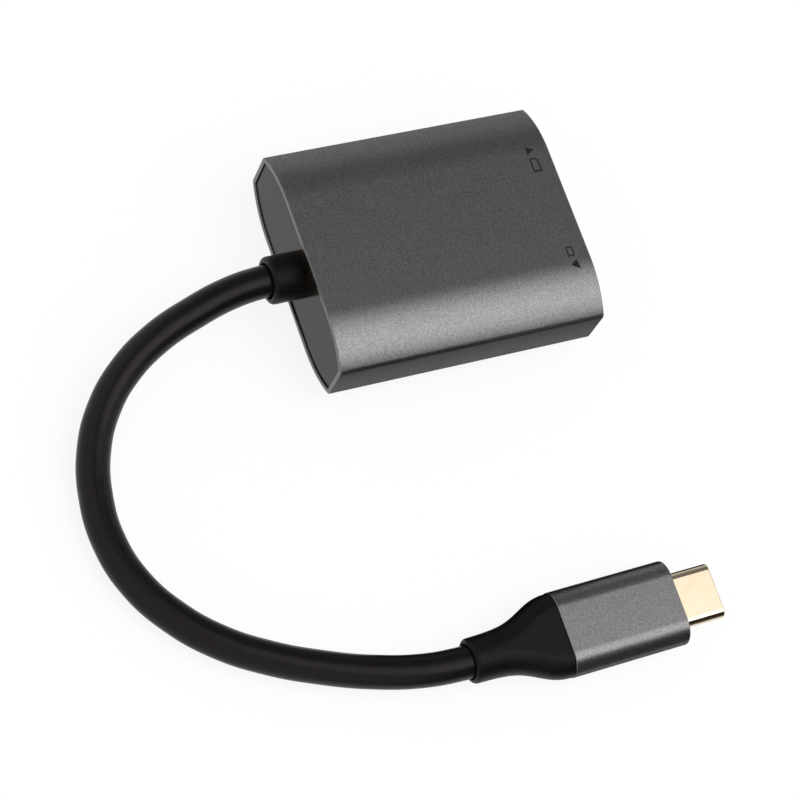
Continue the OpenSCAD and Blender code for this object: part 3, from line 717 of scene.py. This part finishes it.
def plug_ring(u, half_w, half_h, radius, per_corner=15):
    """A rectangle with round corners at the distance u along the plug, as points on the table."""
    outline = slab_outline(half_w, half_h, radius, per_corner)
    return [plug_place + plug_turn @ Vector((u, y, z)) for y, z in outline]


def plug_tube(name, steps, half_w, half_h, radius, materials, face_material=None):
    """A closed tube along the plug: steps are [u, inset] round its wall."""
    rings = [
        plug_ring(u, half_w - inset, half_h - inset, max(radius - inset, least_corner), per_corner=16)
        for u, inset in steps
    ]
    return ring_mesh(name, rings, materials, rim_sharp, face_material)


print("plug: turned", plug_heading, "degrees and rolled", plug_roll)

# %% Cover of the plug
cover_l, cover_w, cover_h, cover_r, cover_wall = 18.4, 12.6, 6.2, 3.05, 0.5
cover_round = 0.12
cover_margin = cover_l * 0.1

cover_steps = tube_steps(-cover_l, 0, cover_wall, cover_round, cover_margin)
cover = plug_tube(
    "plug_sleeve", cover_steps, cover_w / 2, cover_h / 2, cover_r, [plug_metal, plug_cut], cut_on_rim,
)
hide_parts("plug_cover")
print("cover:", len(cover.data.polygons), "faces")

# %% Gold shell
shell_w, shell_h, shell_t, shell_out, shell_in = 8.25, 2.4, 0.3, 7.0, 5.0
shell_r = shell_h / 2 - nearly_round
shell_round, shell_inner_round = 0.22, 0.06
beyond_cover = 0.3

outer = rounded_end(shell_out, shell_round, steps=5)
inner_round = rounded_end(shell_out, shell_inner_round, steps=2)
inner = [(u, shell_t - inset) for u, inset in reversed(inner_round)]
shell_steps = [(-shell_in, 0), (beyond_cover, 0)] + outer + inner + [(-shell_in, shell_t)]
shell = plug_tube("gold_shell", shell_steps, shell_w / 2, shell_h / 2, shell_r, [shell_gold])
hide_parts("plug_shell")
print("shell:", len(shell.data.polygons), "faces")

# %% [markdown]
# The boot is the shape that takes most care: round where the cable enters, flat and wide where it meets the
# cover, with a waist that opens like a bell. A cone joined to a slab would leave a crease between them. A
# loft does this best: each ring is a rounded rectangle, and its half width follows a smooth step that starts
# late, while its half height hardly changes. It stops just short of the cover, and a narrower spigot goes on
# into it, so the seam shows as a thin dark line.

# %% Swell of the boot
boot_l, boot_half = 14.3, 3.25
boot_inset = 0.1
seam = 0.12
waist_gain = 0.3
bell_wide = cover_w / 2 - boot_inset
bell_high = cover_h / 2 - boot_inset
bell_corner = cover_r - boot_inset
bell_l = boot_l - mouth_depth - seam
boot_end = -cover_l - boot_l


def ease(t):
    """A smooth step from 0 to 1."""
    return t * t * (3 - 2 * t)


def bell_ring(t):
    """Ring of the boot's bell, t from the round end at 0 to the cover at 1."""
    swell = (ease(t ** 1.6) + ease(ease(t ** 1.5))) / 2
    wide = boot_half + waist_gain * t * (1 - swell) + (bell_wide - boot_half) * swell
    high = boot_half + (bell_high - boot_half) * ease(t)
    corner = min(wide, high) - nearly_round + (bell_corner - bell_high + nearly_round) * t
    return plug_ring(boot_end + mouth_depth + t * bell_l, wide, high, corner)


# %% Boot
boot_steps = 44
spigot_in, spigot_play = 3.5, 0.05
spigot_inset = cover_wall + spigot_play
spigot = (cover_w / 2 - spigot_inset, cover_h / 2 - spigot_inset, cover_r - spigot_inset)

boot_rings = [plug_ring(boot_end + u, radius, radius, radius - nearly_round) for u, radius in lip(boot_half)]
boot_rings += [bell_ring(i / boot_steps) for i in range(boot_steps + 1)]
boot_rings += [plug_ring(u, *spigot) for u in (-cover_l - seam, -cover_l + spigot_in)]
boot = ring_mesh("soft_boot", boot_rings, [boot_rubber], sharp=50, loop=False)
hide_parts("plug_boot")
print("boot:", len(boot.data.polygons), "faces")

# %% [markdown]
# Two small printed marks show which slot takes which card. They are ink, a few thousandths of a millimetre
# thick, so each is a thin plate on the lacquer: a triangle that points at its slot, and the plain outline of
# a card with one corner cut. A painted mask in the finish would blur on a close look.

# %% Shapes of the marks
def card_mark(x, y, long, wide, cut, line):
    """Outline of a card as four-sided strips between an outer and an inner loop, on the housing's top."""
    slant_loss = 0.6

    def loop(grow):
        low_x, high_x = x - long / 2 + grow, x + long / 2 - grow
        low_y, high_y = y - wide / 2 + grow, y + wide / 2 - grow
        slant = cut - grow * slant_loss
        cut_off = [(high_x, high_y - slant), (high_x - slant, high_y)]
        return [(low_x, low_y), (high_x, low_y), *cut_off, (low_x, high_y)]

    outer, inner = loop(0), loop(line)
    return [[outer[i], outer[(i + 1) % 5], inner[(i + 1) % 5], inner[i]] for i in range(5)]


mark_shapes = [
    [(17.4, 8.64), (18.72, 9.4), (17.43, 9.97)],
    [(18.68, -9.04), (17.53, -9.76), (18.83, -10.6)],
]
mark_shapes += card_mark(18.1, 6.9, long=1.4, wide=2.3, cut=0.45, line=0.24)
mark_shapes += card_mark(18.15, -7.65, long=1.1, wide=1.6, cut=0.32, line=0.2)
print("shapes of the marks:", len(mark_shapes))

# %% Printed marks
ink_top = housing_h
ink_low = housing_h - lacquer * 2
ink = plastic(
    "black_printing_ink", (0.003, 0.003, 0.003), (0.006, 0.006, 0.006),
    rough=0.5, grain_size=0.1, depth=0.001, Specular_IOR_Level=0.3,
)

points, faces = [], []
for shape in mark_shapes:
    first, count = len(points), len(shape)
    points += [mm(x, y, z) for z in (ink_low, ink_top) for x, y in shape]
    faces.append(tuple(range(first + count - 1, first - 1, -1)))
    faces.append(tuple(range(first + count, first + 2 * count)))
    for k in range(count):
        n = (k + 1) % count
        faces.append((first + k, first + n, first + count + n, first + count + k))
marks_mesh = bpy.data.meshes.new("slot_marks")
marks_mesh.from_pydata(points, [], faces)
marks_mesh.materials.append(ink)
marks = new_object("slot_marks", marks_mesh)
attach(marks, "root")
print("marks:", len(faces), "faces")
